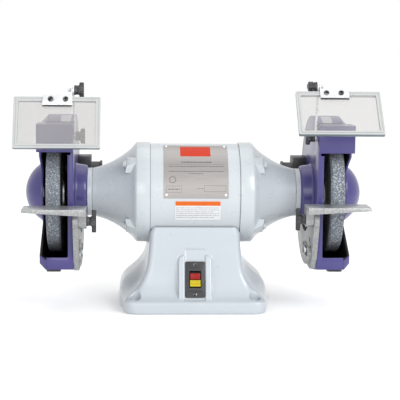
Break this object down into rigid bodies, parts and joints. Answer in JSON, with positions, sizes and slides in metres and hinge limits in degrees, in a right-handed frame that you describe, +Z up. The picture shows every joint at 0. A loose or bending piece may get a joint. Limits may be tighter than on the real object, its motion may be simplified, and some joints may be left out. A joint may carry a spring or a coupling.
{
  "type": "bench grinder",
  "caption": "Pedestal bench grinder with a wheel in a guard on each end, tool rests, tilting eye shields, sliding spark hoods, dust spigots and a rocker switch with a pull-out key",
  "frame": {"origin": "On the underside of the base, straight below the middle of the motor shaft.", "axes": "+X along the shaft to the operator's right, -Y towards the operator, +Z up."},
  "size_m": [0.737, 0.3594, 0.4769],
  "materials": {
    "casting_grey": "gloss",
    "guard_purple": "gloss",
    "abrasive": "matte",
    "steel": "satin",
    "zinc_plate": "satin",
    "nameplate_metal": "satin",
    "cast_aluminium": "satin",
    "black_plastic": "satin",
    "red_plastic": "gloss",
    "yellow_plastic": "gloss",
    "clear_plastic": "gloss",
    "windings": "satin",
    "label_film": "satin"
  },
  "bodies": {
    "frame": {"base_casting": "casting_grey", "base_bottom_plate": "steel", "cord_gland": "black_plastic", "capacitor": "black_plastic", "switch_plate": "black_plastic", "switch_body": "black_plastic", "stator_housing": "casting_grey", "stator_core": "windings", "nameplate": "nameplate_metal", "info_label": "label_film", "end_bell_left": "casting_grey", "end_bell_right": "casting_grey", "bearing_left": "steel", "bearing_right": "steel", "neck_ring_left": "casting_grey", "neck_ring_right": "casting_grey", "inner_guard_left": "guard_purple", "inner_guard_right": "guard_purple", "guard_hub_left": "guard_purple", "guard_hub_right": "guard_purple", "outer_cover_left": "guard_purple", "outer_cover_right": "guard_purple", "dust_port_left": "black_plastic", "dust_port_right": "black_plastic", "cover_clip_left": "black_plastic", "cover_clip_right": "black_plastic", "bracket_bolt_left": "steel", "bracket_bolt_right": "steel"},
    "rotor": {"motor_shaft": "steel", "rotor_core": "steel", "start_switch": "black_plastic", "grinding_wheel_left": "abrasive", "grinding_wheel_right": "abrasive", "inner_flange_left": "steel", "inner_flange_right": "steel", "outer_flange_left": "steel", "outer_flange_right": "steel", "wheel_nut_left": "steel", "wheel_nut_right": "steel"},
    "rocker": {"switch_rocker": "red_plastic"},
    "lock_key": {"switch_lock_key": "yellow_plastic"},
    "bracket_left": {"tool_rest_bracket_left": "cast_aluminium"},
    "rest_left": {"tool_rest_left": "cast_aluminium"},
    "rest_knob_left": {"tool_rest_knob_left": "black_plastic"},
    "arm_left": {"shield_arm_left": "zinc_plate"},
    "shield_left": {"shield_clamp_left": "zinc_plate", "eye_shield_left": "clear_plastic"},
    "lower_knob_left": {"shield_knob_lower_left": "black_plastic"},
    "upper_knob_left": {"shield_knob_upper_left": "black_plastic"},
    "hood_left": {"spark_hood_left": "guard_purple"},
    "bracket_right": {"tool_rest_bracket_right": "cast_aluminium"},
    "rest_right": {"tool_rest_right": "cast_aluminium"},
    "rest_knob_right": {"tool_rest_knob_right": "black_plastic"},
    "arm_right": {"shield_arm_right": "zinc_plate"},
    "shield_right": {"shield_clamp_right": "zinc_plate", "eye_shield_right": "clear_plastic"},
    "lower_knob_right": {"shield_knob_lower_right": "black_plastic"},
    "upper_knob_right": {"shield_knob_upper_right": "black_plastic"},
    "hood_right": {"spark_hood_right": "guard_purple"}
  },
  "joints": [
    {"name": "rotor_spin", "type": "hinge", "parent": "frame", "child": "rotor", "pos_m": [0, 0, 0.238], "axis": [1, 0, 0], "continuous": true},
    {"name": "switch_rocker_throw", "type": "hinge", "parent": "frame", "child": "rocker", "pos_m": [0, -0.1052, 0.06676], "axis": [1, 0, 0], "range_deg": [-14, 0]},
    {"name": "switch_key_pull", "type": "slide", "parent": "rocker", "child": "lock_key", "axis": [0, -0.9816, 0.1908], "range_m": [0, 0.018]},
    {"name": "rest_slide_left", "type": "slide", "parent": "frame", "child": "bracket_left", "axis": [0, -1, 0], "range_m": [0, 0.022]},
    {"name": "rest_tilt_left", "type": "hinge", "parent": "bracket_left", "child": "rest_left", "pos_m": [-0.23, -0.143, 0.194], "axis": [1, 0, 0], "range_deg": [-3, 25]},
    {"name": "rest_knob_turn_left", "type": "hinge", "parent": "bracket_left", "child": "rest_knob_left", "pos_m": [-0.215, -0.143, 0.194], "axis": [1, 0, 0], "range_deg": [-180, 180]},
    {"name": "arm_swing_left", "type": "hinge", "parent": "frame", "child": "arm_left", "pos_m": [-0.2475, -0.085, 0.362], "axis": [1, 0, 0], "range_deg": [-26, 25]},
    {"name": "shield_tilt_left", "type": "hinge", "parent": "arm_left", "child": "shield_left", "pos_m": [-0.2505, -0.13147, 0.45727], "axis": [1, 0, 0], "range_deg": [-60, 15]},
    {"name": "lower_knob_turn_left", "type": "hinge", "parent": "arm_left", "child": "lower_knob_left", "pos_m": [-0.235, -0.085, 0.362], "axis": [1, 0, 0], "range_deg": [-180, 180]},
    {"name": "upper_knob_turn_left", "type": "hinge", "parent": "arm_left", "child": "upper_knob_left", "pos_m": [-0.235, -0.13147, 0.45727], "axis": [1, 0, 0], "range_deg": [-180, 180]},
    {"name": "hood_slide_left", "type": "slide", "parent": "frame", "child": "hood_left", "axis": [0, 0, -1], "range_m": [0, 0.022]},
    {"name": "rest_slide_right", "type": "slide", "parent": "frame", "child": "bracket_right", "axis": [0, -1, 0], "range_m": [0, 0.022]},
    {"name": "rest_tilt_right", "type": "hinge", "parent": "bracket_right", "child": "rest_right", "pos_m": [0.23, -0.143, 0.199], "axis": [1, 0, 0], "range_deg": [-3, 25]},
    {"name": "rest_knob_turn_right", "type": "hinge", "parent": "bracket_right", "child": "rest_knob_right", "pos_m": [0.215, -0.143, 0.199], "axis": [1, 0, 0], "range_deg": [-180, 180]},
    {"name": "arm_swing_right", "type": "hinge", "parent": "frame", "child": "arm_right", "pos_m": [0.2475, -0.085, 0.362], "axis": [1, 0, 0], "range_deg": [-10, 41]},
    {"name": "shield_tilt_right", "type": "hinge", "parent": "arm_right", "child": "shield_right", "pos_m": [0.2505, -0.10341, 0.46639], "axis": [1, 0, 0], "range_deg": [-60, 15]},
    {"name": "lower_knob_turn_right", "type": "hinge", "parent": "arm_right", "child": "lower_knob_right", "pos_m": [0.235, -0.085, 0.362], "axis": [1, 0, 0], "range_deg": [-180, 180]},
    {"name": "upper_knob_turn_right", "type": "hinge", "parent": "arm_right", "child": "upper_knob_right", "pos_m": [0.235, -0.10341, 0.46639], "axis": [1, 0, 0], "range_deg": [-180, 180]},
    {"name": "hood_slide_right", "type": "slide", "parent": "frame", "child": "hood_right", "axis": [0, 0, -1], "range_m": [0, 0.022]}
  ]
}
